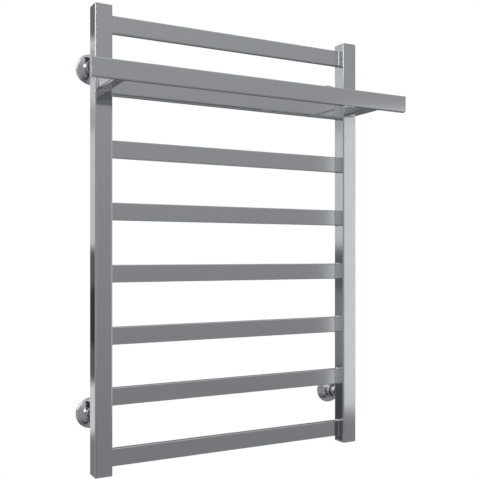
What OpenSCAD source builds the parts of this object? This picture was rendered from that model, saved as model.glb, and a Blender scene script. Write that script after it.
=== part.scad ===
// Water-heated towel warmer rack: two square posts, eight flat rungs, a shelf
// frame level with the second rung, and four telescopic wall brackets.
// Millimetres, +Z up. The wall is the plane Y = 0 and the rack stands in -Y.
// The origin is the centre of the four wall screw holes.

/* [Posts] */
// Distance between the posts' centre lines, and so between the water connections
post_pitch = 500; // [400:10:600]
// Height of the posts, with the plates that close them
rack_h = 784; // [760:1:820]
// Outside width of the square post tube
post_w = 30; // [29:0.5:32]
// Wall thickness of the post tube
post_wall = 1.5; // [1.2:0.1:2]
// Outside corner radius of the post tube
post_corner = 2.2; // [2.1:0.1:3]
// Distance from the wall to the front faces of the posts
post_front = 75; // [74:0.5:78]
// Thickness of the plates that close the posts
cap_t = 3; // [2:0.5:3.5]

/* [Rungs] */
// Height of a rung's flat tube
rung_h = 30; // [26:1:32]
// Thickness of a rung's flat tube from front to back
rung_t = 10; // [8:0.5:12]
// Wall thickness of the flat tube
rung_wall = 1.2; // [1:0.1:1.5]
// Outside corner radius of the flat tube
rung_corner = 1.6; // [1.6:0.1:2]
// Distance from the posts' front faces back to the rungs' front faces
rung_setback = 15.75; // [13:0.25:16.5]
// Height of the lowest rung's centre above the lower end of the posts
rung_foot = 26.5; // [22:0.5:30]
// Spacing of the three lowest rungs
low_step = 102.5; // [100:0.5:103]
// Spacing of the rungs above them
high_step = 105; // [100:0.5:106]

/* [Shelf] */
// Rung that the shelf is level with, counted from the top
shelf_rung = 2; // [2:1:3]
// Distance from the posts' front faces out to the shelf bar's front face
shelf_reach = 104; // [80:1:140]
// Length of the shelf's front bar, with its end plates
shelf_w = 606; // [560:1:640]
// Width of a shelf arm, which is set centrally on its post
arm_w = 22; // [20:1:26]
// Height of a shelf arm
arm_h = 22; // [20:1:26]
// Outside corner radius of a shelf arm
arm_corner = 4; // [2.5:0.5:6]
// Thickness of the shelf bar's end plates
bar_cap_t = 2; // [1:0.5:3]

/* [Wall brackets] */
// Height between the upper and the lower wall screws
bracket_pitch = 596; // [560:1:620]
// Radius of a rosette's rim
rosette_r = 26.5; // [25.5:0.5:28]
// Depth of a rosette from the wall to the end of its neck
rosette_depth = 23.5; // [23:0.5:24]
// Thickness of a rosette's sheet
rosette_t = 1.2; // [0.8:0.1:1.4]
// Outside radius of a rosette's neck
neck_r = 14; // [13.8:0.1:15]
// Outside radius of a wall socket's tube
socket_r = 11; // [10.8:0.1:11.2]
// Length of a wall socket from the wall to its mouth
socket_len = 36; // [34:0.5:37]
// Radius of a wall socket's flange
flange_r = 22; // [20:0.5:23]
// Thickness of a wall socket's flange
flange_t = 4; // [3:0.5:5]
// Radius of the hole for the wall screw
screw_hole_r = 3.25; // [2.5:0.25:4]
// Radius of the pin that a post carries into the socket
pin_r = 8; // [7.5:0.1:8.2]
// Distance from the wall to the pin's tip at rest
pin_tip = 14; // [13:0.5:16]

/* [Water connections] */
// Radius of the hole tapped for a half-inch pipe thread
water_bore_r = 9.3; // [8:0.1:9.6]
// Radius of the round boss inside the post
boss_r = 13; // [12:0.1:13.3]
// Length of the tapped hole, through the plate and the boss
boss_len = 17; // [14:1:22]

/* [Air vent] */
// Radius of the vent plug's head
vent_head_r = 7; // [6.6:0.1:7.4]
// Radius of the vent plug's threaded shank
vent_shank_r = 4.85; // [4.6:0.05:5]
// Length of the vent plug below the seal
vent_shank_len = 8.2; // [8:0.1:9]
// Radius of the bleed screw
bleed_r = 2.45; // [2.3:0.05:2.5]
// Thickness of the boss's floor, which only the air way goes through
vent_sump_t = 1.5; // [1:0.1:2]

/* [Hidden] */
$fn = 96;

// overlap of cutting solids past the faces that they open
cut = 1;
// running clearance between a sliding pin and its socket
run_gap = 0.08;
// clearance between a rosette's neck and the socket's tube
neck_gap = 0.4;

post_x = post_pitch / 2;
post_y = post_w / 2 - post_front;
post_back = post_front - post_w;
post_top = rack_h / 2;
tube_len = rack_h - 2 * cap_t;

rung_count = 8;
rung_len = post_pitch - post_w + 2 * post_wall;
rung_y = rung_setback + rung_t / 2 - post_front;
shelf_z = rung_z(shelf_rung);
bar_y = rung_t / 2 - post_front - shelf_reach;
arm_len = shelf_reach - rung_t;

bracket_z = bracket_pitch / 2;
socket_bore_r = pin_r + run_gap;
pin_chamfer = 1;
flange_edge = 0.8;
grub_r = 2.5;
grub_z = 30;
grub_sink = 0.4;
grub_len = socket_r - socket_bore_r - grub_sink;
grub_key = 1.45;
grub_key_depth = 1.7;

// The rosette is a slice of a spherical shell between its rim and its neck
rim_h = 2;
neck_z = 19.5;
dome_z = (neck_r ^ 2 + neck_z ^ 2 - rosette_r ^ 2 - rim_h ^ 2) / (2 * (neck_z - rim_h));
dome_r = sqrt(rosette_r ^ 2 + (rim_h - dome_z) ^ 2);
neck_bore_r = socket_r + neck_gap;
ring_wire_r = 0.8;
ring_r = socket_r + run_gap + ring_wire_r;
ring_z = 21.5;
ring_groove_h = 1.9;

// Depths in the vent are measured down from the top of the post
vent_recess_r = vent_head_r + 0.25;
vent_head_top = 0.2;
vent_head_t = 2.8;
seal_t = 0.8;
seal_r = vent_head_r - 0.2;
vent_floor = vent_head_top + vent_head_t + seal_t;
vent_sump_gap = 0.3;
vent_sump = vent_floor + vent_shank_len + vent_sump_gap;
vent_boss_depth = vent_sump + vent_sump_t;
vent_boss_r = 11;
bleed_top = 0.7;
bleed_seat = 9.2;
bleed_len = 6.5;
bleed_tip_len = bleed_seat - bleed_top - bleed_len - run_gap;
bleed_slot_w = 0.9;
bleed_slot_depth = 1;
air_way_r = 1.2;
spout_r = 0.45;
spout_x = 3.6;
spout_depth = 5;

CORNERS = ["upper_left", "upper_right", "lower_left", "lower_right"];
BRACKET_PIECES = ["wall_socket", "grub_screw", "post_pin", "rosette", "ring_seal"];

// Height of a rung's centre, with rung 1 at the top
function rung_z(i) =
    let (steps = rung_count - i)
    rung_foot - post_top + min(steps, 2) * low_step + max(steps - 2, 0) * high_step;

// -1 for the left corners and 1 for the right ones
function corner_side(c) = c % 2 == 0 ? -1 : 1;

// 1 for the upper corners and -1 for the lower ones
function corner_level(c) = c < 2 ? 1 : -1;

// A rectangle with round corners, centred
module round_rect(w, h, r) {
    square([w - 2 * r, h], center = true);
    square([w, h - 2 * r], center = true);
    for (x = [-1, 1], y = [-1, 1])
        translate([x * (w / 2 - r), y * (h / 2 - r)])
            circle(r);
}

// The section of a rectangular tube
module tube_section(w, h, r, wall) {
    difference() {
        round_rect(w, h, r);
        round_rect(w - 2 * wall, h - 2 * wall, r - wall);
    }
}

// Puts a section along X, its width along Y and its height along Z
module along_x(length) {
    rotate([90, 0, 90])
        linear_extrude(length, center = true)
            children();
}

// Puts a section along Y, its width along X and its height along Z
module along_y(length) {
    rotate([90, 0, 0])
        linear_extrude(length, center = true)
            children();
}

// Places a bracket piece, drawn with its local Z pointing away from the wall
module at_corner(c) {
    translate([corner_side(c) * post_x, 0, corner_level(c) * bracket_z])
        rotate([90, 0, 0])
            children();
}

// A post's square tube, with a slot in its inner wall for each rung
module post(side) {
    color("silver")
        difference() {
            translate([side * post_x, post_y, -tube_len / 2])
                linear_extrude(tube_len)
                    tube_section(post_w, post_w, post_corner, post_wall);
            for (i = [1 : rung_count])
                translate([side * (post_x - post_w / 2), rung_y, rung_z(i)])
                    along_x(2 * post_wall)
                        round_rect(rung_t, rung_h, rung_corner);
        }
}

// The plate that closes the top of the left post
module left_top_cap() {
    color("silver")
        translate([-post_x, post_y, post_top - cap_t])
            linear_extrude(cap_t)
                round_rect(post_w, post_w, post_corner);
}

// The plate that closes the top of the right post, with a recess and a boss for the vent
module right_top_cap() {
    color("silver")
        translate([post_x, post_y, post_top])
            difference() {
                union() {
                    translate([0, 0, -cap_t])
                        linear_extrude(cap_t)
                            round_rect(post_w, post_w, post_corner);
                    translate([0, 0, -vent_boss_depth])
                        cylinder(r = vent_boss_r, h = vent_boss_depth - cap_t / 2);
                }
                translate([0, 0, -vent_floor])
                    cylinder(r = vent_recess_r, h = vent_floor + cut);
                translate([0, 0, -vent_sump])
                    cylinder(r = vent_shank_r, h = vent_sump + cut);
                translate([0, 0, -vent_boss_depth - cut])
                    cylinder(r = air_way_r, h = vent_boss_depth + cut);
            }
}

// The plate and tapped boss at the foot of a post
module water_fitting(side) {
    color("silver")
        translate([side * post_x, post_y, -post_top])
            difference() {
                union() {
                    linear_extrude(cap_t)
                        round_rect(post_w, post_w, post_corner);
                    cylinder(r = boss_r, h = boss_len);
                }
                translate([0, 0, -cut])
                    cylinder(r = water_bore_r, h = boss_len + 2 * cut);
            }
}

// A rung, whose open ends lie in the slots of both posts
module rung(i) {
    color("lightgray")
        translate([0, rung_y, rung_z(i)])
            along_x(rung_len)
                tube_section(rung_t, rung_h, rung_corner, rung_wall);
}

// The flat tube along the front of the shelf
module shelf_front_bar() {
    color("lightgray")
        translate([0, bar_y, shelf_z])
            along_x(shelf_w - 2 * bar_cap_t)
                tube_section(rung_t, rung_h, rung_corner, rung_wall);
}

// A plate on one end of the shelf's front bar
module shelf_end(side) {
    color("silver")
        translate([side * (shelf_w - bar_cap_t) / 2, bar_y, shelf_z])
            along_x(bar_cap_t)
                round_rect(rung_t, rung_h, rung_corner);
}

// A shelf arm, from a post's front face to the back of the front bar
module shelf_arm(side) {
    color("silver")
        translate([side * post_x, -post_front - arm_len / 2, shelf_z])
            along_y(arm_len)
                tube_section(arm_w, arm_h, arm_corner, post_wall);
}

// The vent's plug: a flush head, a shank and the air's way up to the bleed screw
module vent_plug() {
    color("silver")
        translate([post_x, post_y, post_top])
            difference() {
                union() {
                    translate([0, 0, -vent_head_top - vent_head_t])
                        cylinder(r = vent_head_r, h = vent_head_t);
                    translate([0, 0, -vent_floor - vent_shank_len])
                        cylinder(r = vent_shank_r, h = vent_shank_len + seal_t + vent_head_t / 2);
                }
                translate([0, 0, -bleed_seat])
                    cylinder(r = bleed_r + run_gap, h = bleed_seat + cut);
                translate([0, 0, -vent_floor - vent_shank_len - cut])
                    cylinder(r = air_way_r, h = vent_floor + vent_shank_len + cut);
                translate([spout_x, 0, -spout_depth])
                    cylinder(r = spout_r, h = spout_depth + cut);
                translate([0, 0, -spout_depth])
                    rotate([0, 90, 0])
                        cylinder(r = spout_r, h = spout_x);
            }
}

// The flat ring under the vent's head
module vent_seal() {
    color("dimgray")
        translate([post_x, post_y, post_top - vent_floor])
            difference() {
                cylinder(r = seal_r, h = seal_t);
                translate([0, 0, -cut])
                    cylinder(r = vent_shank_r, h = seal_t + 2 * cut);
            }
}

// The slotted screw that opens the vent, with a cone on its tip
module vent_bleed_screw() {
    color("gainsboro")
        translate([post_x, post_y, post_top - bleed_top])
            difference() {
                union() {
                    translate([0, 0, -bleed_len])
                        cylinder(r = bleed_r, h = bleed_len);
                    translate([0, 0, bleed_top - bleed_seat + run_gap])
                        cylinder(r1 = air_way_r, r2 = bleed_r, h = bleed_tip_len);
                }
                translate([-bleed_r - cut, -bleed_slot_w / 2, -bleed_slot_depth])
                    cube([2 * (bleed_r + cut), bleed_slot_w, bleed_slot_depth + cut]);
            }
}

// The flange and tube that the wall screw holds against the wall
module wall_socket() {
    color("darkgray")
        difference() {
            rotate_extrude()
                difference() {
                    union() {
                        square([flange_r - flange_edge, flange_t]);
                        square([flange_r, flange_t - flange_edge]);
                        translate([flange_r - flange_edge, flange_t - flange_edge])
                            circle(flange_edge);
                        square([socket_r, socket_len]);
                    }
                    translate([-cut, -cut])
                        square([screw_hole_r + cut, socket_len]);
                    translate([-cut, flange_t])
                        square([socket_bore_r + cut, socket_len]);
                }
            translate([0, 0, grub_z])
                rotate([90, 0, 0])
                    cylinder(r = grub_r, h = socket_r + cut);
        }
}

// The set screw under the socket, which presses on the pin
module grub_screw() {
    color("dimgray")
        translate([0, -socket_bore_r, grub_z])
            rotate([90, 0, 0])
                difference() {
                    cylinder(r = grub_r, h = grub_len);
                    translate([0, 0, grub_len - grub_key_depth])
                        cylinder(r = grub_key, h = grub_key_depth + cut, $fn = 6);
                }
}

// The round pin on the back of a post, which slides in the socket
module post_pin() {
    color("silver")
        translate([0, 0, pin_tip]) {
            cylinder(r1 = pin_r - pin_chamfer, r2 = pin_r, h = pin_chamfer);
            translate([0, 0, pin_chamfer])
                cylinder(r = pin_r, h = post_back - pin_tip - pin_chamfer);
        }
}

// Half the outline of the rosette's outside: a slice of a sphere and a neck
module rosette_outside() {
    intersection() {
        translate([0, dome_z])
            circle(dome_r);
        square([rosette_r, rosette_depth]);
    }
    square([neck_r, rosette_depth]);
}

// Half the outline of what is cut out of it, with the groove for the ring seal
module rosette_inside() {
    intersection() {
        translate([0, dome_z])
            circle(dome_r - rosette_t);
        translate([0, -cut])
            square([rosette_r - rosette_t, neck_z - rosette_t + cut]);
    }
    translate([-cut, -cut])
        square([neck_bore_r + cut, rosette_depth + 2 * cut]);
    translate([0, ring_z - ring_groove_h / 2])
        square([ring_r + ring_wire_r, ring_groove_h]);
}

// The domed cover over the flange, with a neck that holds the ring seal
module rosette() {
    color("silver")
        rotate_extrude()
            difference() {
                rosette_outside();
                rosette_inside();
            }
}

// The ring in the rosette's neck, which grips the socket's tube
module ring_seal() {
    color("dimgray")
        translate([0, 0, ring_z])
            rotate_extrude()
                translate([ring_r, 0])
                    circle(ring_wire_r);
}

post(-1);  // left_post
post(1);  // right_post
left_top_cap();
right_top_cap();
water_fitting(-1);  // left_water_fitting
water_fitting(1);  // right_water_fitting
for (i = [1 : rung_count])
    rung(i);
shelf_front_bar();
shelf_end(-1);  // shelf_left_end
shelf_end(1);  // shelf_right_end
shelf_arm(-1);  // shelf_left_arm
shelf_arm(1);  // shelf_right_arm
vent_plug();
vent_seal();
vent_bleed_screw();
for (c = [0 : 3]) {
    at_corner(c) wall_socket();
    at_corner(c) grub_screw();
    at_corner(c) post_pin();
    at_corner(c) rosette();
    at_corner(c) ring_seal();
}
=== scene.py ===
"""A polished steel towel warmer rack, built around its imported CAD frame."""

from math import atan2, cos, degrees, hypot, pi, radians, sin, sqrt

import bmesh
import bpy
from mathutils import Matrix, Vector


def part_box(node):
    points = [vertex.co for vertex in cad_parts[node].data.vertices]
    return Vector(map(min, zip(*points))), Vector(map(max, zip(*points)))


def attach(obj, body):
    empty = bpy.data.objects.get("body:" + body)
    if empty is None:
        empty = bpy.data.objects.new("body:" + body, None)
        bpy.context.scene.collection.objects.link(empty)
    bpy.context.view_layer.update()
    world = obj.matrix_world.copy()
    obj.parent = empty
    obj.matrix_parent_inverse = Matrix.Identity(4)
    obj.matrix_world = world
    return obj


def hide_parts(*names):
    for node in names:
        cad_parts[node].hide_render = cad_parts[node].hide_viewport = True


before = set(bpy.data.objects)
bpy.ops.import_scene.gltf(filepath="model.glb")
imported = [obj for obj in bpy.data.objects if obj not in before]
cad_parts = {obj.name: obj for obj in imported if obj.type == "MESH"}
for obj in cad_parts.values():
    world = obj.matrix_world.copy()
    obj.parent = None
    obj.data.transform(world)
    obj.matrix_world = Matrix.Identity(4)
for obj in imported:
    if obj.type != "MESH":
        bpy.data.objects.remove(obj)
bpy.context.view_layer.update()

MM = 0.001
CORNERS = ("upper_left", "upper_right", "lower_left", "lower_right")

# Tube walls, corners and polished welds, and how far a weld goes into its neighbour
POST_WALL = 1.5 * MM
POST_CORNER = 2.2 * MM
RUNG_WALL = 1.2 * MM
RUNG_CORNER = 1.6 * MM
ARM_CORNER = 4 * MM
WELD = 1.1 * MM
SINK = 0.05 * MM


# --- Meshes ---------------------------------------------------------------


def section(half_u, half_v, radius, steps=8, flats=1):
    """Round a rectangle with round corners: each point's arc centre, and its direction from there."""
    core_u, core_v = half_u - radius, half_v - radius
    quadrants = ((1, 1), (-1, 1), (-1, -1), (1, -1))
    points = []
    for q, (side_u, side_v) in enumerate(quadrants):
        for i in range(steps + 1):
            turn = (q + i / steps) * pi / 2
            points.append((side_u * core_u, side_v * core_v, cos(turn), sin(turn)))
        next_u, next_v = quadrants[(q + 1) % 4]
        for i in range(1, flats):
            t = i / flats
            turn = (q + 1) * pi / 2
            centre_u = core_u * (side_u + (next_u - side_u) * t)
            centre_v = core_v * (side_v + (next_v - side_v) * t)
            points.append((centre_u, centre_v, cos(turn), sin(turn)))
    return points


def circle(count=96):
    """The same for a circle about the axis."""
    return [(0, 0, cos(2 * pi * i / count), sin(2 * pi * i / count)) for i in range(count)]


def along(axis, origin):
    """Where a section's u and v, and the distance along it, are in the frame."""
    origin = Vector(origin)
    places = {
        "X": lambda u, v, s: origin + Vector((s, u, v)),
        "Y": lambda u, v, s: origin + Vector((u, s, v)),
        "Z": lambda u, v, s: origin + Vector((u, v, s)),
        "out": lambda u, v, s: origin + Vector((u, -s, v)),
        "down": lambda u, v, s: origin + Vector((u, v, -s)),
    }
    return places[axis]


def swept_rings(outline, radius, profile, place):
    """A ring of points for each profile point: the distance along, and how far outside the section."""
    rings = []
    for s, *offsets in profile:
        off_u, off_v = offsets[0], offsets[-1]
        rings.append(
            [
                place(cu + (radius + off_u) * du, cv + (radius + off_v) * dv, s)
                for cu, cv, du, dv in outline
            ]
        )
    return rings


def turned_ring(outline, corner, radius, s, place):
    """A ring about the axis with a section's own number of points; radius may depend on the angle."""
    ring = []
    for cu, cv, du, dv in outline:
        angle = atan2(cv + corner * dv, cu + corner * du)
        r = radius(angle, s) if callable(radius) else radius
        ring.append(place(r * cos(angle), r * sin(angle), s))
    return ring


def skin(name, rings, loop=False):
    """A closed mesh through rings of points: the last ring meets the first, or the ends are filled."""
    bm = bmesh.new()
    rows = []
    for ring in rings:
        if max((p - ring[0]).length for p in ring) < 1e-7:
            rows.append([bm.verts.new(ring[0])] * len(ring))
        else:
            rows.append([bm.verts.new(p) for p in ring])
    pairs = list(zip(rows, rows[1:]))
    if loop:
        pairs.append((rows[-1], rows[0]))
    count = len(rings[0])
    for low, high in pairs:
        for i in range(count):
            k = (i + 1) % count
            corners = list(dict.fromkeys((low[i], low[k], high[k], high[i])))
            if len(corners) > 2:
                bm.faces.new(corners)
    if not loop:
        for row in (rows[0], rows[-1]):
            if row[0] is not row[1]:
                bm.faces.new(row)
    bmesh.ops.recalc_face_normals(bm, faces=bm.faces)
    mesh = bpy.data.meshes.new(name)
    bm.to_mesh(mesh)
    bm.free()
    return mesh


def joined(name, meshes):
    """Several meshes as one."""
    bm = bmesh.new()
    for mesh in meshes:
        bm.from_mesh(mesh)
    whole = bpy.data.meshes.new(name)
    bm.to_mesh(whole)
    bm.free()
    return whole


def cut(mesh, cutter):
    """The mesh with the cutter's space taken out of it."""
    body = bpy.data.objects.new("body", mesh)
    tool = bpy.data.objects.new("tool", cutter)
    for obj in (body, tool):
        bpy.context.scene.collection.objects.link(obj)
    taken = body.modifiers.new("cut", "BOOLEAN")
    taken.operation = "DIFFERENCE"
    taken.solver = "EXACT"
    taken.object = tool
    bpy.context.view_layer.update()
    graph = bpy.context.evaluated_depsgraph_get()
    result = bpy.data.meshes.new_from_object(body.evaluated_get(graph))
    for obj in (body, tool):
        bpy.data.objects.remove(obj)
    return result


def bend(s, d, radius, start, end, steps=6):
    """Profile points on an arc, from one angle to another in degrees."""
    turns = [radians(start + (end - start) * i / steps) for i in range(steps + 1)]
    return [(s + radius * cos(t), d + radius * sin(t)) for t in turns]


def mirrored(profile):
    """The same profile at the other end of a piece whose middle is at 0."""
    return [(-s, *offsets) for s, *offsets in reversed(profile)]


def thread(minor, major, pitch, start, end):
    """The radius of a screw thread at an angle and a distance along it, faded out at both ends."""

    def radius(angle, s):
        if not start < s < end:
            return minor
        phase = (s / pitch - angle / (2 * pi)) % 1
        # A fifth of each turn is crest, with a flank of a fifth on each side
        rise = min(1, max(0, 1.5 - abs(phase - 0.5) * 5))
        fade = min(1, (s - start) / pitch, (end - s) / pitch)
        return minor + (major - minor) * rise * fade

    return radius


def add(name, mesh, body, slot, material, *stood_for):
    """Puts a piece in the scene, on its body, in place of its CAD nodes."""
    obj = bpy.data.objects.new(name, mesh)
    bpy.context.scene.collection.objects.link(obj)
    mesh.materials.clear()
    mesh.materials.append(material)
    mesh.shade_smooth()
    mesh.set_sharp_from_angle(angle=radians(32))
    normals = obj.modifiers.new("flats_stay_flat", "WEIGHTED_NORMAL")
    normals.keep_sharp = True
    normals.weight = 90
    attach(obj, body)
    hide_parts(*stood_for)
    return obj


# --- Materials ------------------------------------------------------------


def node(tree, kind, inputs=None, **settings):
    """Adds a node; its inputs are values or other nodes' outputs."""
    made = tree.nodes.new(kind)
    for key, value in settings.items():
        setattr(made, key, value)
    for key, value in (inputs or {}).items():
        if isinstance(value, bpy.types.NodeSocket):
            tree.links.new(value, made.inputs[key])
        else:
            made.inputs[key].default_value = value
    return made


def maths(tree, operation, *values):
    """The result of a math node."""
    return node(tree, "ShaderNodeMath", dict(enumerate(values)), operation=operation).outputs[0]


def ranged(tree, value, low, high, to_low, to_high, kind="LINEAR"):
    """A value moved from one range to another, and kept inside it."""
    inputs = {
        "Value": value,
        "From Min": low,
        "From Max": high,
        "To Min": to_low,
        "To Max": to_high,
    }
    return node(tree, "ShaderNodeMapRange", inputs, interpolation_type=kind).outputs["Result"]


def noise(tree, point, scale, stretch=(1, 1, 1), detail=2.0, roughness=0.5):
    """Procedural noise about an object's own point, stretched along its axes."""
    mapped = node(tree, "ShaderNodeMapping", {"Vector": point, "Scale": stretch}).outputs[0]
    inputs = {"Vector": mapped, "Scale": scale, "Detail": detail, "Roughness": roughness}
    return node(tree, "ShaderNodeTexNoise", inputs).outputs["Fac"]


def blend_colours(tree, factor, first, second):
    """One colour turning into another."""
    mix = node(tree, "ShaderNodeMix", {0: factor, 6: first, 7: second}, data_type="RGBA")
    return mix.outputs[2]


def start_material(name):
    """An empty material with its shader, its output and the object's own point."""
    material = bpy.data.materials.new(name)
    material.use_nodes = True
    tree = material.node_tree
    tree.nodes.clear()
    shader = node(tree, "ShaderNodeBsdfPrincipled")
    node(tree, "ShaderNodeOutputMaterial", {"Surface": shader.outputs[0]})
    point = node(tree, "ShaderNodeTexCoord").outputs["Object"]
    return material, tree, shader, point


def metal(name, colours, roughness, grain, grain_depth, wave_depth, smudge=0.02):
    """A metal with fine lines along its grain, a faint waviness and handling marks in its gloss."""
    material, tree, shader, point = start_material(name)
    line_scale, wave_scale, mark_scale = 2600, 14, 22
    line_share, mark_share = 0.4, 0.6
    lines = noise(tree, point, line_scale, grain, 3.0, 0.6)
    waves = noise(tree, point, wave_scale, (1, 1, 1), 1.0)
    marks = noise(tree, point, mark_scale, (1, 1, 0.7), 4.0, 0.62)
    patches = ranged(tree, marks, 0.5, 0.72, 0, 1, "SMOOTHSTEP")
    shader.inputs["Metallic"].default_value = 1.0
    line_tone = maths(tree, "MULTIPLY", lines, line_share)
    tone = maths(tree, "MULTIPLY_ADD", patches, mark_share, line_tone)
    colour = blend_colours(tree, tone, (*colours[0], 1), (*colours[1], 1))
    tree.links.new(colour, shader.inputs["Base Color"])
    fine = ranged(tree, lines, 0.3, 0.7, roughness[0], roughness[1])
    gloss = maths(tree, "MULTIPLY_ADD", patches, smudge, fine)
    tree.links.new(gloss, shader.inputs["Roughness"])
    bump = node(tree, "ShaderNodeBump", {"Strength": 1.0, "Distance": wave_depth, "Height": waves})
    inputs = {
        "Strength": 1.0,
        "Distance": grain_depth,
        "Height": lines,
        "Normal": bump.outputs[0],
    }
    tree.links.new(node(tree, "ShaderNodeBump", inputs).outputs[0], shader.inputs["Normal"])
    return material


def rubber(name):
    """Matt black rubber with a fine grain and a little dust."""
    material, tree, shader, point = start_material(name)
    grain_scale, dust_scale = 1800, 160
    clean, dusty = (0.012, 0.012, 0.013, 1), (0.034, 0.034, 0.036, 1)
    grain = noise(tree, point, grain_scale, (1, 1, 1), 3.0, 0.6)
    dust = noise(tree, point, dust_scale, (1, 1, 1), 4.0, 0.7)
    colour = blend_colours(tree, dust, clean, dusty)
    tree.links.new(colour, shader.inputs["Base Color"])
    tree.links.new(ranged(tree, dust, 0.3, 0.7, 0.55, 0.72), shader.inputs["Roughness"])
    inputs = {"Strength": 0.6, "Distance": 0.02 * MM, "Height": grain}
    tree.links.new(node(tree, "ShaderNodeBump", inputs).outputs[0], shader.inputs["Normal"])
    return material


STEEL = ((0.655, 0.668, 0.688), (0.635, 0.650, 0.672))
steel = {
    axis: metal(f"polished_steel_{axis}", STEEL, (0.055, 0.08), grain, 0.0006 * MM, 0.02 * MM)
    for axis, grain in {
        "x": (0.012, 1, 1),
        "y": (1, 0.012, 1),
        "z": (1, 1, 0.012),
        "flat": (0.5, 0.5, 0.5),
    }.items()
}
chrome = metal(
    "chrome_plate",
    colours=((0.60, 0.61, 0.63), (0.57, 0.58, 0.60)),
    roughness=(0.05, 0.07),
    grain=(0.4, 0.4, 0.4),
    grain_depth=0.0004 * MM,
    wave_depth=0.03 * MM,
)
turned = metal(
    "turned_steel",
    colours=((0.56, 0.57, 0.58), (0.50, 0.51, 0.52)),
    roughness=(0.16, 0.3),
    grain=(0.02, 1, 0.02),
    grain_depth=0.004 * MM,
    wave_depth=0.01 * MM,
    smudge=0.06,
)
black_steel = metal(
    "black_oxide",
    colours=((0.055, 0.055, 0.06), (0.035, 0.035, 0.04)),
    roughness=(0.3, 0.45),
    grain=(1, 1, 1),
    grain_depth=0.01 * MM,
    wave_depth=0.01 * MM,
    smudge=0.08,
)
nickel = metal(
    "nickel_plate",
    colours=((0.66, 0.635, 0.58), (0.60, 0.575, 0.52)),
    roughness=(0.14, 0.22),
    grain=(1, 1, 0.4),
    grain_depth=0.003 * MM,
    wave_depth=0.01 * MM,
    smudge=0.05,
)
black_rubber = rubber("black_rubber")


# --- Posts and their ends -------------------------------------------------

left_low, left_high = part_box("left_post")
right_low, right_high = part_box("right_post")
post_half = (left_high.x - left_low.x) / 2
post_y = (left_low.y + left_high.y) / 2
post_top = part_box("left_top_cap")[1].z
cap_t = post_top - left_high.z
post_x = {"left": (left_low.x + left_high.x) / 2, "right": (right_low.x + right_high.x) / 2}
inner_face = (right_low.x - left_high.x) / 2
rungs = [n for n in sorted(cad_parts) if n.startswith("rung_")]
# Broken edges, the end plates' rounding and the air way from the post to the vent
SHARP_EDGE = 0.15 * MM
CAP_ROUND = 0.9 * MM
AIR_WAY_R = 1.2 * MM


def post(side):
    """A square tube with a slot in its inner wall for each rung."""
    low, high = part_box(f"{side}_post")
    outline = section(post_half, post_half, POST_CORNER, 10)
    place = along("Z", (post_x[side], post_y, 0))
    profile = [
        (low.z, -POST_WALL),
        (low.z, -SHARP_EDGE),
        (low.z + SHARP_EDGE, 0),
        (high.z - SHARP_EDGE, 0),
        (high.z, -SHARP_EDGE),
        (high.z, -POST_WALL),
    ]
    tube = skin(f"{side}_post_tube", swept_rings(outline, POST_CORNER, profile, place), loop=True)
    toward = 1 if side == "left" else -1
    face = post_x[side] + toward * post_half
    slots = []
    for name in rungs:
        lo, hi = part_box(name)
        centre = (lo + hi) / 2
        place = along("X", (face, centre.y, centre.z))
        hole = section((hi.y - lo.y) / 2, (hi.z - lo.z) / 2, RUNG_CORNER)
        length = POST_WALL + MM
        slots.append(skin("slot", swept_rings(hole, RUNG_CORNER, [(-length, 0), (length, 0)], place)))
    return cut(tube, joined("slots", slots))


for side in ("left", "right"):
    add(f"{side}_post_tube", post(side), "rack", "polished_steel", steel["z"], f"{side}_post")


def top_plate(place):
    """The outside of a plate that closes a post, with a hairline where it meets the tube."""
    low = post_top - cap_t
    profile = [(low, -SHARP_EDGE), (low + SHARP_EDGE, 0)]
    profile += bend(post_top - CAP_ROUND, -CAP_ROUND, CAP_ROUND, 90, 0)
    return swept_rings(plate_outline, POST_CORNER, profile, place)


def plate_ring(radius, z, place):
    """A round ring with the plates' own number of points."""
    return turned_ring(plate_outline, POST_CORNER, radius, z, place)


plate_outline = section(post_half, post_half, POST_CORNER, 8, 12)
left_plate = skin("left_cap_plate", top_plate(along("Z", (post_x["left"], post_y, 0))))
add("left_cap_plate", left_plate, "rack", "polished_steel", steel["flat"], "left_top_cap")

plug_low, plug_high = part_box("vent_plug")
seal_low, seal_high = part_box("vent_seal")
SHANK_R = 4.85 * MM
SUMP_GAP = 0.3 * MM


def vented_plate():
    """The right plate, with a recess, a threaded hole and an air way for the vent, in a boss."""
    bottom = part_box("right_top_cap")[0].z
    recess_r = (plug_high.x - plug_low.x) / 2 + 0.25 * MM
    boss_r, edge, pitch, depth = 11 * MM, 0.5 * MM, MM, 0.5 * MM
    sump = plug_low.z - SUMP_GAP
    place = along("Z", (post_x["right"], post_y, 0))
    tapped = thread(SHANK_R, SHANK_R + depth, pitch, sump, seal_low.z)
    rings = top_plate(place)
    rings += [
        plate_ring(recess_r + edge / 2, post_top, place),
        plate_ring(recess_r, post_top - edge / 2, place),
        plate_ring(recess_r, seal_low.z, place),
    ]
    steps = 80
    for i in range(steps + 1):
        z = seal_low.z + (sump - seal_low.z) * i / steps
        rings.append(plate_ring(tapped, z, place))
    rings += [
        plate_ring(AIR_WAY_R, sump, place),
        plate_ring(AIR_WAY_R, bottom, place),
        plate_ring(boss_r - edge, bottom, place),
        plate_ring(boss_r, bottom + edge, place),
        plate_ring(boss_r, post_top - cap_t, place),
    ]
    return skin("right_cap_plate", rings, loop=True)


add("right_cap_plate", vented_plate(), "rack", "polished_steel", steel["flat"], "right_top_cap")


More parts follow.
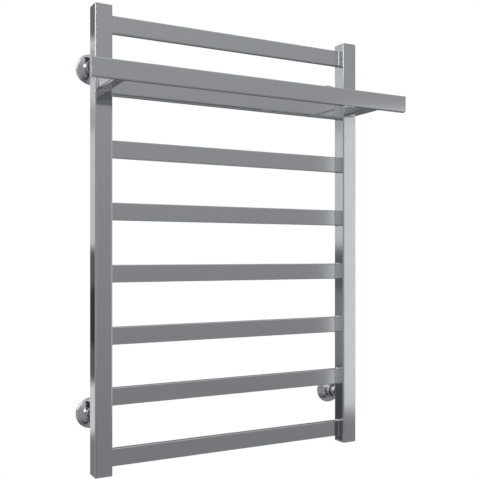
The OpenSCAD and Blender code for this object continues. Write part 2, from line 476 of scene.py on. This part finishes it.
def water_fitting(side):
    """A foot plate with a boss inside the post, tapped with a G 1/2 thread."""
    low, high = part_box(f"{side}_water_fitting")
    place = along("Z", (post_x[side], post_y, 0))
    minor, major, pitch = 9.32 * MM, 10.45 * MM, 1.814 * MM
    boss, edge, mouth = 13 * MM, 0.5 * MM, 1.3 * MM
    tapped = thread(minor, major, pitch, low.z + 0.6 * MM, high.z)
    top = low.z + cap_t
    profile = bend(low.z + CAP_ROUND, -CAP_ROUND, CAP_ROUND, 180, 90)
    profile += [(top - SHARP_EDGE, 0), (top, -SHARP_EDGE)]
    rings = swept_rings(plate_outline, POST_CORNER, profile, place)
    rings += [
        plate_ring(boss, top, place),
        plate_ring(boss, high.z - edge, place),
        plate_ring(boss - edge, high.z, place),
    ]
    steps = 110
    for i in range(steps + 1):
        z = high.z + (low.z + mouth - high.z) * i / steps
        rings.append(plate_ring(tapped, z, place))
    rings.append(plate_ring(major + 0.2 * MM, low.z, place))
    return skin(f"{side}_foot_fitting", rings, loop=True)


for side in ("left", "right"):
    add(
        f"{side}_foot_fitting",
        water_fitting(side),
        "rack",
        "turned_steel",
        steel["flat"],
        f"{side}_water_fitting",
    )


# --- Air vent -------------------------------------------------------------

vent = along("Z", (post_x["right"], post_y, 0))
screw_low, screw_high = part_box("vent_bleed_screw")
screw_r = (screw_high.x - screw_low.x) / 2


def turned_part(name, profile, place, count=96, loop=False):
    """A piece turned about its axis, from distances along it and radii."""
    return skin(name, swept_rings(circle(count), 0, profile, place), loop)


def vent_plug():
    """A threaded shank under a flat head with a turned ring in it, and a small spout by its bore."""
    head_r = (plug_high.x - plug_low.x) / 2
    bore, mouth = screw_r + 0.08 * MM, 0.3 * MM
    seat = screw_low.z + 0.1 * MM
    chamfer, edge, ring_depth = 0.5 * MM, 0.2 * MM, 0.25 * MM
    pitch, ridge, first = MM, 0.25 * MM, 0.6 * MM
    profile = [
        (plug_low.z, AIR_WAY_R),
        (plug_low.z, SHANK_R - chamfer),
        (plug_low.z + chamfer, SHANK_R),
    ]
    turns = int((seal_low.z - plug_low.z - 2 * first) / pitch)
    for i in range(turns):
        z = plug_low.z + first + i * pitch
        profile += [(z, SHANK_R), (z + 0.45 * pitch, SHANK_R - ridge), (z + 0.9 * pitch, SHANK_R)]
    profile += [
        (seal_high.z, SHANK_R),
        (seal_high.z, head_r - edge),
        (seal_high.z + edge, head_r),
    ]
    profile += bend(plug_high.z - chamfer, head_r - chamfer, chamfer, 90, 0)
    profile += [
        (plug_high.z, 5.4 * MM),
        (plug_high.z - ring_depth, 5.2 * MM),
        (plug_high.z - ring_depth, 4.95 * MM),
        (plug_high.z, 4.75 * MM),
        (plug_high.z, bore + mouth),
        (plug_high.z - mouth, bore),
        (seat, bore),
        (seat, AIR_WAY_R),
    ]
    body = turned_part("vent_plug_body", profile, vent, loop=True)
    spout_r, spout_x, spout_depth = 0.45 * MM, 3.6 * MM, 4.8 * MM
    spout = along("Z", (post_x["right"] + spout_x, post_y, 0))
    drill = [(plug_high.z - spout_depth, spout_r), (plug_high.z + MM, spout_r)]
    return cut(body, turned_part("drill", drill, spout, 24))


def vent_gasket():
    """A flat rubber washer with its outer edges broken."""
    outer, edge = (seal_high.x - seal_low.x) / 2, 0.2 * MM
    profile = [(seal_low.z, SHANK_R), (seal_low.z, outer - edge), (seal_low.z + edge, outer)]
    profile += [(seal_high.z - edge, outer), (seal_high.z, outer - edge), (seal_high.z, SHANK_R)]
    return turned_part("vent_gasket", profile, vent, loop=True)


def bleed_screw():
    """A screw with a cone at its tip and a slot across its round head."""
    tip, neck, crown = screw_low.z + 1.92 * MM, screw_low.z + 2.1 * MM, 0.35 * MM
    profile = [(screw_low.z, 0), (screw_low.z, AIR_WAY_R * 0.9), (tip, screw_r - 0.1 * MM)]
    profile += [(neck, screw_r), (screw_high.z - crown, screw_r)]
    profile += bend(screw_high.z - crown, screw_r - crown, crown, 90, 0, 4) + [(screw_high.z, 0)]
    slot_half, slot_corner = 0.45 * MM, 0.05 * MM
    outline = section(screw_r + MM, slot_half, slot_corner, 2)
    slot = [(screw_high.z - MM, 0), (screw_high.z + MM, 0)]
    return cut(
        turned_part("bleed_screw_slotted", profile, vent, 64),
        skin("slot", swept_rings(outline, slot_corner, slot, vent)),
    )


add("vent_plug_body", vent_plug(), "rack", "plated_brass", nickel, "vent_plug")
add("vent_gasket", vent_gasket(), "rack", "seal_rubber", black_rubber, "vent_seal")
add("bleed_screw_slotted", bleed_screw(), "bleed_screw", "plated_brass", nickel, "vent_bleed_screw")


# --- Rungs and shelf ------------------------------------------------------


def tube(name, low, high, corner, wall, axis, profile):
    """A hollow flat tube along X or Y, from its box and the profile of its outside."""
    centre = (low + high) / 2
    size = (high - low) / 2
    if axis == "X":
        outline = section(size.y, size.z, corner, 10)
        origin = (0, centre.y, centre.z)
    else:
        outline = section(size.x, size.z, corner, 10)
        origin = (centre.x, 0, centre.z)
    profile = profile + [(profile[-1][0], -wall), (profile[0][0], -wall)]
    return skin(name, swept_rings(outline, corner, profile, along(axis, origin)), loop=True)


def rung(name):
    """A rung with a polished weld where it enters each post."""
    low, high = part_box(name)
    end = bend(inner_face - WELD, WELD, WELD, 270, 360)
    end += [(inner_face + SINK, WELD), (inner_face + SINK, 0), (high.x, 0)]
    return tube(f"{name}_tube", low, high, RUNG_CORNER, RUNG_WALL, "X", mirrored(end) + end)


for name in rungs:
    add(f"{name}_tube", rung(name), "rack", "polished_steel", steel["x"], name)

bar_low, bar_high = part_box("shelf_front_bar")
end = [(bar_high.x - SHARP_EDGE, 0), (bar_high.x, -SHARP_EDGE)]
bar = tube("shelf_bar_tube", bar_low, bar_high, RUNG_CORNER, RUNG_WALL, "X", mirrored(end) + end)
add("shelf_bar_tube", bar, "rack", "polished_steel", steel["x"], "shelf_front_bar")

END_ROUND = 0.7 * MM
for side, toward in (("left", -1), ("right", 1)):
    low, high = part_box(f"shelf_{side}_end")
    size, centre = (high - low) / 2, (low + high) / 2
    outline = section(size.y, size.z, RUNG_CORNER, 10)
    profile = [(-size.x, -SHARP_EDGE), (SHARP_EDGE - size.x, 0)]
    profile += bend(size.x - END_ROUND, -END_ROUND, END_ROUND, 90, 0)
    profile = [(toward * s, d) for s, d in profile]
    rings = swept_rings(outline, RUNG_CORNER, profile, along("X", centre))
    name = f"shelf_bar_{side}_plate"
    add(name, skin(name, rings), "rack", "polished_steel", steel["flat"], f"shelf_{side}_end")

for side in ("left", "right"):
    low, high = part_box(f"shelf_{side}_arm")
    profile = [(high.y + SINK, 0), (high.y + SINK, WELD)]
    profile += bend(high.y - WELD, WELD, WELD, 0, -90)
    profile += bend(low.y + WELD, WELD, WELD, 270, 180)
    profile += [(low.y - SINK, WELD), (low.y - SINK, 0)]
    name = f"shelf_{side}_arm_tube"
    arm = tube(name, low, high, ARM_CORNER, POST_WALL, "Y", profile)
    add(name, arm, "rack", "polished_steel", steel["y"], f"shelf_{side}_arm")


# --- Wall brackets --------------------------------------------------------


def rosette_profile(rim, depth):
    """Distances from the wall and radii round a domed cover: outside, neck, ring groove and inside."""
    sheet, neck, bore = 1.2 * MM, 14 * MM, 11.4 * MM
    rim_h, neck_z, groove_z, groove_r = 2 * MM, 19.5 * MM, 21.5 * MM, 12.7 * MM
    centre = (neck**2 + neck_z**2 - rim**2 - rim_h**2) / (2 * (neck_z - rim_h))
    ball = hypot(rim, rim_h - centre)
    blend = 1.4 * MM
    # The blend touches the dome from outside and the neck
    blend_r = neck + blend
    blend_z = centre + sqrt((ball + blend) ** 2 - blend_r**2)
    touch = degrees(atan2(blend_r, blend_z - centre))
    first = degrees(atan2(rim, rim_h - centre))
    outside = bend(centre, 0, ball, first, touch, 28)
    outside += bend(blend_z, blend_r, blend, touch - 180, -90, 6)[1:]
    mouth = 0.5 * MM
    outside += bend(depth - mouth, neck - mouth, mouth, 90, 0, 5)
    chamfer, groove = 0.3 * MM, 0.95 * MM
    inside = [(depth, bore + chamfer), (depth - chamfer, bore)]
    inside += [(groove_z + groove, bore), (groove_z + groove, groove_r)]
    inside += [(groove_z - groove, groove_r), (groove_z - groove, bore)]
    inside += [(neck_z - sheet, bore)]
    inner = ball - sheet
    shoulder = sqrt(inner**2 - (neck_z - sheet - centre) ** 2)
    last = degrees(atan2(sqrt(inner**2 - (rim_h - centre) ** 2), rim_h - centre))
    inside += bend(centre, 0, inner, degrees(atan2(shoulder, neck_z - sheet - centre)), last, 24)
    lip = sheet / 2
    inside += bend(lip, rim - lip, lip, -90, -270, 8)
    return outside + inside


def socket(place, length, flange_r):
    """A flange with a countersunk screw hole and a tube with a tapped hole underneath."""
    flange, hole, outer, inner, root = 4 * MM, 3.25 * MM, 11 * MM, 8.08 * MM, MM
    edge, mouth, chamfer, countersink = 0.8 * MM, 0.45 * MM, 0.3 * MM, 1.6 * MM
    profile = [(0, hole), (0, flange_r - chamfer), (chamfer, flange_r)]
    profile += bend(flange - edge, flange_r - edge, edge, 90, 0)
    profile += bend(flange + root, outer + root, root, 180, 270)
    profile += [(length - mouth, outer), (length, outer - mouth), (length, inner + mouth)]
    profile += [(length - mouth, inner), (flange, inner)]
    profile += [(flange, hole + countersink), (flange - countersink, hole)]
    return turned_part("socket", profile, place, loop=True)


def hex_radius(across):
    """The radius of a hexagon by angle, from half the distance between its corners."""

    def radius(angle, _):
        return across * cos(pi / 6) / cos((angle + pi / 6) % (pi / 3) - pi / 6)

    return radius


def domed_cover(corner, place):
    """The rosette, with a groove for its ring in its neck."""
    low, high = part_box(f"{corner}_rosette")
    profile = rosette_profile((high.x - low.x) / 2, -low.y)
    return turned_part(f"{corner}_domed_cover", profile, place, 128, loop=True)


def rubber_ring(corner, place):
    """The ring that grips the socket."""
    low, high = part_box(f"{corner}_ring_seal")
    wire = (high.y - low.y) / 2
    profile = bend(-(low.y + high.y) / 2, (high.x - low.x) / 2 - wire, wire, 0, 360, 16)[:-1]
    return turned_part(f"{corner}_rubber_ring", profile, place, 96, loop=True)


def socket_tube(corner, place, grub):
    """The wall socket, drilled from below for its grub screw."""
    low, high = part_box(f"{corner}_wall_socket")
    grub_low, grub_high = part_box(f"{corner}_grub_screw")
    grub_r = (grub_high.x - grub_low.x) / 2
    drill = turned_part("tool", [(low.z - MM, grub_r), (grub_high.z, grub_r)], grub, 48)
    return cut(socket(place, -low.y, (high.x - low.x) / 2), drill)


def set_screw(corner, grub):
    """A screw with a cone point and a hexagon key hole."""
    low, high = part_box(f"{corner}_grub_screw")
    radius, cone, chamfer = (high.x - low.x) / 2, 0.6 * MM, 0.25 * MM
    key, key_top = 1.45 * MM, low.z + 1.7 * MM
    profile = [(high.z, 0), (high.z, radius - cone), (high.z - cone, radius)]
    profile += [(low.z + chamfer, radius), (low.z, radius - chamfer)]
    rings = swept_rings(circle(48), 0, profile, grub)
    for across, z in ((key + 0.1 * MM, low.z), (key, key_top), (0, key_top)):
        rings.append(turned_ring(circle(48), 1, hex_radius(across), z, grub))
    return skin(f"{corner}_set_screw", rings)


def slide_pin(corner, place):
    """The pin on the back of the post, with a weld at its foot."""
    low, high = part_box(f"{corner}_post_pin")
    tip, back, pin = -high.y, -low.y, (high.x - low.x) / 2
    profile = [(tip, 0), (tip, pin - MM), (tip + MM, pin)]
    profile += bend(back - WELD, pin + WELD, WELD, 270, 360)
    profile += [(back + SINK, pin + WELD), (back + SINK, 0)]
    return turned_part(f"{corner}_slide_pin", profile, place, 96)


def bracket(corner):
    """A telescopic wall bracket under its cover."""
    low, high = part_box(f"{corner}_rosette")
    centre = (low + high) / 2
    out = along("out", (centre.x, 0, centre.z))
    low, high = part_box(f"{corner}_grub_screw")
    grub = along("Z", (centre.x, (low.y + high.y) / 2, 0))
    cover, ring = domed_cover(corner, out), rubber_ring(corner, out)
    cover_body, fixed = f"{corner}_cover", "wall_sockets"
    add(f"{corner}_domed_cover", cover, cover_body, "chromed_cover", chrome, f"{corner}_rosette")
    add(f"{corner}_rubber_ring", ring, cover_body, "seal_rubber", black_rubber, f"{corner}_ring_seal")
    tube_mesh, screw = socket_tube(corner, out, grub), set_screw(corner, grub)
    add(f"{corner}_socket_tube", tube_mesh, fixed, "turned_steel", turned, f"{corner}_wall_socket")
    add(f"{corner}_set_screw", screw, fixed, "black_steel", black_steel, f"{corner}_grub_screw")
    pin = slide_pin(corner, out)
    add(f"{corner}_slide_pin", pin, "rack", "turned_steel", turned, f"{corner}_post_pin")


for corner in CORNERS:
    bracket(corner)


# --- Camera, floor and studio ---------------------------------------------

# The camera's place, height and lens come from the rack's straight edges
camera = bpy.data.objects.new("camera", bpy.data.cameras.new("camera"))
camera.data.sensor_width = 36
camera.data.lens = 56.24
camera.data.shift_y = 0.0327
camera.location = (-0.6384, -1.2732, -0.0251)
camera.rotation_euler = (radians(90), 0, radians(-28.24))
bpy.context.scene.collection.objects.link(camera)
bpy.context.scene.camera = camera
bpy.context.scene.view_settings.view_transform = "Standard"


def floor_with_painted_shadow():
    """A pale floor that glows, as far below the rack's middle as in a bathroom, with a painted shadow:
    its glow is dimmer under the rack and fades out to white.
    """
    size, height = 8.0, -1.2
    near, far, painted_shadow_glow = 0.2, 1.9, 0.84
    bm = bmesh.new()
    bmesh.ops.create_grid(bm, x_segments=8, y_segments=8, size=size)
    mesh = bpy.data.meshes.new("floor")
    bm.to_mesh(mesh)
    bm.free()
    floor = bpy.data.objects.new("floor", mesh)
    floor.location.z = height
    bpy.context.scene.collection.objects.link(floor)
    material = bpy.data.materials.new("floor_with_painted_shadow")
    material.use_nodes = True
    tree = material.node_tree
    tree.nodes.clear()
    point = node(tree, "ShaderNodeTexCoord").outputs["Object"]
    away = node(tree, "ShaderNodeVectorMath", {0: point}, operation="LENGTH").outputs["Value"]
    # Painted shadow: the floor's glow is dimmer under the rack and rises to full white further out
    bright = ranged(tree, away, near, far, painted_shadow_glow, 1.0, "SMOOTHSTEP")
    glow = node(tree, "ShaderNodeEmission", {"Strength": bright})
    node(tree, "ShaderNodeOutputMaterial", {"Surface": glow.outputs[0]})
    mesh.materials.append(material)
    floor.visible_glossy = False
    floor.visible_diffuse = False
    floor.visible_shadow = False


floor_with_painted_shadow()

# What the steel shows of the studio: (azimuth from, to, elevation from, to, edge softness, grey).
# Azimuths are degrees from +Y towards +X. Greys are as they show in the steel: 255 is white, and
# more is brighter than white. Later screens cover earlier ones.
SCREENS = (
    (-125, -60, -30, 10, 8.0, 140),
    (-62, -42, -34, 10, 3.0, 160),
    (-62, -8, 10, 46, 3.0, 240),
    (-180, -129, -60, 48, 3.0, 82),
    (-180, -134, -62, -36, 4.0, 60),
    (-126, -119.5, 13, 30, 1.0, 590),
    (-180, -123, 43, 90, 3.0, 45),
    (-123, -106, 50, 90, 3.0, 45),
    (-106, -28, 65, 90, 4.0, 38),
    (-110, -20, -72, -44, 4.0, 98),
    (-140, -62, -76, -58, 4.0, 68),
    (105, 144.7, -11.5, 10.7, 0.7, 199),
    (-156, -143.7, -10, 20, 0.3, 181),
    (-143.7, -139, 9, 13, 0.3, 122),
    (-180, -160, -10, 20, 5.0, 157),
    (-24, -8, 15.6, 20, 0.6, 98),
    (-42, 4, 0.7, 15.6, 0.5, 180),
    (-42, -28, 13.8, 20, 0.4, 172),
    (-28, 4, 13.1, 15.2, 0.3, 157),
    (-42, 4, 9.3, 11.2, 0.5, 152),
    (-42, 4, -9.3, 0.4, 0.4, 82),
    (-42, -28, -8.2, -2.6, 0.5, 114),
    (-28, 4, -6.7, -2.4, 0.4, 51),
    (-28, 4, -13.2, -9.5, 0.4, 188),
    (-42, 4, -42, -17, 2.0, 96),
    (-42, 4, -17, -13.3, 0.5, 112),
    (-42, -28, -14, -9.3, 0.4, 62),
    (4, 78, -9, -1, 1.5, 128),
    (4, 78, -30, -9, 1.5, 84),
    (4, 78, 3, 30, 1.5, 102),
    (-12, 6, -23, -18.5, 1.0, 250),
)
# How bright the rest is at some elevations
SKY = ((-90, 130), (-45, 128), (-16, 117), (0, 130), (18, 146), (45, 165), (90, 205))
STEEL_REFLECTS = 0.66
COOL_TINT = (0.985, 1.0, 1.02)


def light_of(grey):
    """The light that makes polished steel look this grey, by the sRGB curve."""
    linear = ((grey / 255 + 0.055) / 1.055) ** 2.4 / STEEL_REFLECTS
    return (*(linear * tint for tint in COOL_TINT), 1)


def studio():
    """A world of soft screens, with a plain white backdrop."""
    world = bpy.data.worlds.new("studio")
    bpy.context.scene.world = world
    world.use_nodes = True
    tree = world.node_tree
    tree.nodes.clear()
    direction = node(tree, "ShaderNodeTexCoord").outputs["Generated"]
    x, y, z = node(tree, "ShaderNodeSeparateXYZ", {0: direction}).outputs
    azimuth = maths(tree, "MULTIPLY", maths(tree, "ARCTAN2", x, y), 180 / pi)
    elevation = maths(tree, "MULTIPLY", maths(tree, "ARCSINE", z), 180 / pi)
    ramp = node(tree, "ShaderNodeValToRGB", {0: ranged(tree, elevation, -90, 90, 0, 1)})
    stops = ramp.color_ramp.elements
    stops.remove(stops[0])
    for height, grey in SKY[:-1]:
        stops.new((height + 90) / 180).color = light_of(grey)
    stops[-1].color = light_of(SKY[-1][1])
    colour = ramp.outputs[0]
    for left, right, low, high, soft, grey in SCREENS:
        share = 1.0
        for value, start, end in ((azimuth, left, right), (elevation, low, high)):
            rise = ranged(tree, value, start - soft, start + soft, 0, 1, "SMOOTHSTEP")
            fall = ranged(tree, value, end - soft, end + soft, 1, 0, "SMOOTHSTEP")
            share = maths(tree, "MULTIPLY", maths(tree, "MULTIPLY", rise, fall), share)
        colour = blend_colours(tree, share, colour, light_of(grey))
    seen = node(tree, "ShaderNodeLightPath").outputs["Is Camera Ray"]
    colour = blend_colours(tree, seen, colour, (1, 1, 1, 1))
    background = node(tree, "ShaderNodeBackground", {"Color": colour})
    node(tree, "ShaderNodeOutputWorld", {"Surface": background.outputs[0]})


studio()
